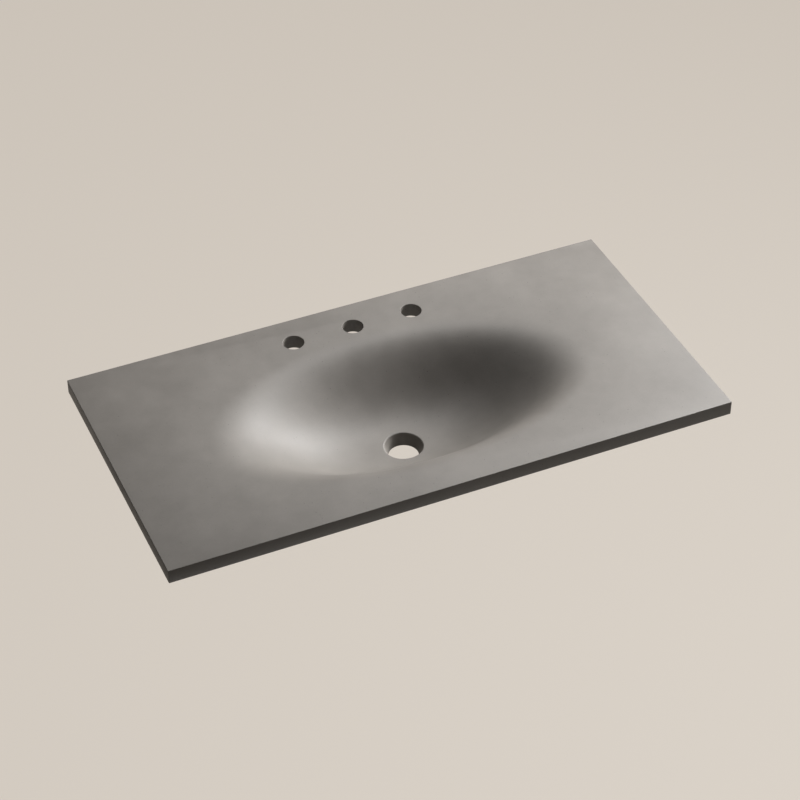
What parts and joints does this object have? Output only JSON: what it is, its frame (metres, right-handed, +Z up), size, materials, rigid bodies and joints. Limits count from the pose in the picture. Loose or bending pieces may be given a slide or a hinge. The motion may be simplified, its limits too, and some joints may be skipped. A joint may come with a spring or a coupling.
{
  "type": "vanity sink top",
  "caption": "Rectangular cast concrete vanity top with a smooth oval basin sunk out of its deck, a drain hole and a row of tap holes, reinforced and threaded on its underside.",
  "frame": {"origin": "middle of the deck's flat underside in length and depth, the plane that rests on the cabinet", "axes": "+X along the top to the user's right, +Y towards the wall, +Z up through the deck"},
  "size_m": [0.9144, 0.464, 0.113],
  "materials": {
    "cast_concrete": "matte",
    "bar_steel": "satin",
    "resin_mortar": "matte",
    "insert_brass": "satin"
  },
  "bodies": {
    "root": {"cast_top": "cast_concrete", "front_rod": "bar_steel", "rear_rod": "bar_steel", "left_rod": "bar_steel", "right_rod": "bar_steel", "front_bedding": "resin_mortar", "rear_bedding": "resin_mortar", "left_bedding": "resin_mortar", "right_bedding": "resin_mortar", "front_left_insert": "insert_brass", "front_right_insert": "insert_brass", "rear_left_insert": "insert_brass", "rear_right_insert": "insert_brass"}
  },
  "joints": []
}
